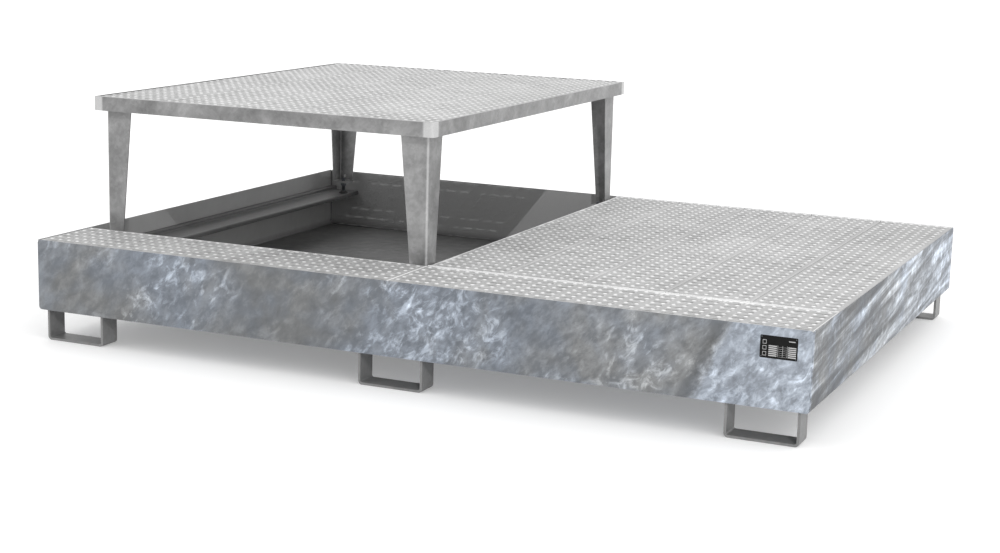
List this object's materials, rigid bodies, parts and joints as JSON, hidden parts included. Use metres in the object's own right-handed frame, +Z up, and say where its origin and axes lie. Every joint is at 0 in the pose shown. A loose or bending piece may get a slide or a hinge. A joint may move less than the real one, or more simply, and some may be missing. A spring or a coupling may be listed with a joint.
{
  "type": "spill containment pallet",
  "caption": "Long shallow galvanised sump tray on bent feet, with lift-off perforated plank gratings and a raised four-legged filling stand over its open half.",
  "frame": {"origin": "on the floor, under the centre of the tray", "axes": "+X along the tray's long side, +Z up, the front with the strip gratings faces -Y"},
  "size_m": [2.68, 2.0008, 0.81],
  "materials": {
    "tray_zinc": "hot-dip galvanised, cloudy, blue-grey with pale streaks",
    "inner_zinc": "hot-dip galvanised, dull grey",
    "foot_zinc": "hot-dip galvanised, light grey",
    "grating_zinc": "galvanised perforated sheet with raised studs",
    "stand_zinc": "galvanised, fine spangle",
    "black_rubber": "matt black rubber",
    "dark_fastener": "blackened steel",
    "rating_plate": "black plate with plain pale table lines"
  },
  "bodies": {
    "tray": {"tray_shell": "tray_zinc", "front_wall": "tray_zinc", "back_wall": "tray_zinc", "foot_front_left": "foot_zinc", "foot_front_middle": "foot_zinc", "foot_front_right": "foot_zinc", "foot_rear_left": "foot_zinc", "foot_rear_middle": "foot_zinc", "foot_rear_right": "foot_zinc", "ledge_left": "inner_zinc", "ledge_right": "inner_zinc", "ledge_front": "inner_zinc", "ledge_back": "inner_zinc", "middle_beam": "inner_zinc", "front_beam_left": "inner_zinc", "front_beam_right": "inner_zinc", "deck_beam": "inner_zinc", "post_middle_front": "inner_zinc", "post_middle_centre": "inner_zinc", "post_middle_rear": "inner_zinc", "post_front_left": "inner_zinc", "post_front_right": "inner_zinc", "post_deck": "inner_zinc", "rating_plate": "rating_plate"},
    "strip_left": {"strip_grating_left": "grating_zinc"},
    "strip_right": {"strip_grating_right": "grating_zinc"},
    "deck": {"deck_plank_1": "grating_zinc", "deck_plank_2": "grating_zinc", "deck_plank_3": "grating_zinc", "deck_plank_4": "grating_zinc", "deck_plank_5": "grating_zinc", "deck_tie_front": "grating_zinc", "deck_tie_rear": "grating_zinc"},
    "stand": {"stand_frame": "stand_zinc", "stand_plank_1": "grating_zinc", "stand_plank_2": "grating_zinc", "stand_plank_3": "grating_zinc", "stand_plank_4": "grating_zinc", "stand_plank_5": "grating_zinc", "stand_tie_1": "stand_zinc", "stand_tie_2": "stand_zinc", "leg_front_left": "stand_zinc", "leg_front_right": "stand_zinc", "leg_rear_left": "stand_zinc", "leg_rear_right": "stand_zinc", "foot_plate_front_left": "stand_zinc", "foot_plate_front_right": "stand_zinc", "foot_plate_rear_left": "stand_zinc", "foot_plate_rear_right": "stand_zinc", "levelling_pads": "black_rubber", "levelling_studs": "dark_fastener", "levelling_nuts": "dark_fastener"}
  },
  "joints": [
    {"name": "strip_left_lift", "type": "slide", "parent": "tray", "child": "strip_left", "axis": [0, 0, 1], "range_m": [0, 0.3]},
    {"name": "strip_right_lift", "type": "slide", "parent": "tray", "child": "strip_right", "axis": [0, 0, 1], "range_m": [0, 0.3]},
    {"name": "deck_lift", "type": "slide", "parent": "tray", "child": "deck", "axis": [0, 0, 1], "range_m": [0, 0.3]},
    {"name": "stand_lift", "type": "slide", "parent": "tray", "child": "stand", "axis": [0, 0, 1], "range_m": [0, 0.3]}
  ]
}
